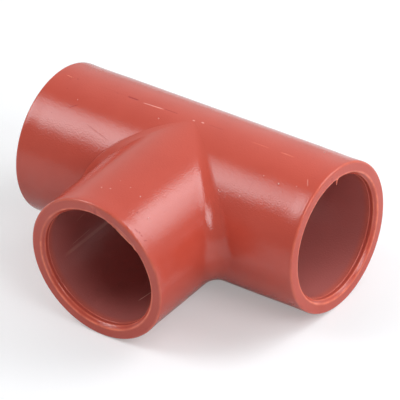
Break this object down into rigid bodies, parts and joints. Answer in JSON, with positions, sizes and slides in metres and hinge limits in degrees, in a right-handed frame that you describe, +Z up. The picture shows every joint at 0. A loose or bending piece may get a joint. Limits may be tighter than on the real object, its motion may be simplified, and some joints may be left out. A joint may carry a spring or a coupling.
{
  "type": "pipe tee",
  "caption": "Equal pipe tee moulded in one piece, with a straight run, a square branch and plain glue-in sockets at all its ends.",
  "frame": {"origin": "the point where the centre lines of the run and the branch meet, inside the waterway", "axes": "+X along the run, -Y out of the branch socket, +Z up, square to both"},
  "size_m": [0.0668, 0.0484, 0.031],
  "materials": {
    "body": "glossy moulded red plastic"
  },
  "bodies": {
    "root": {"tee_body": "body"}
  },
  "joints": []
}
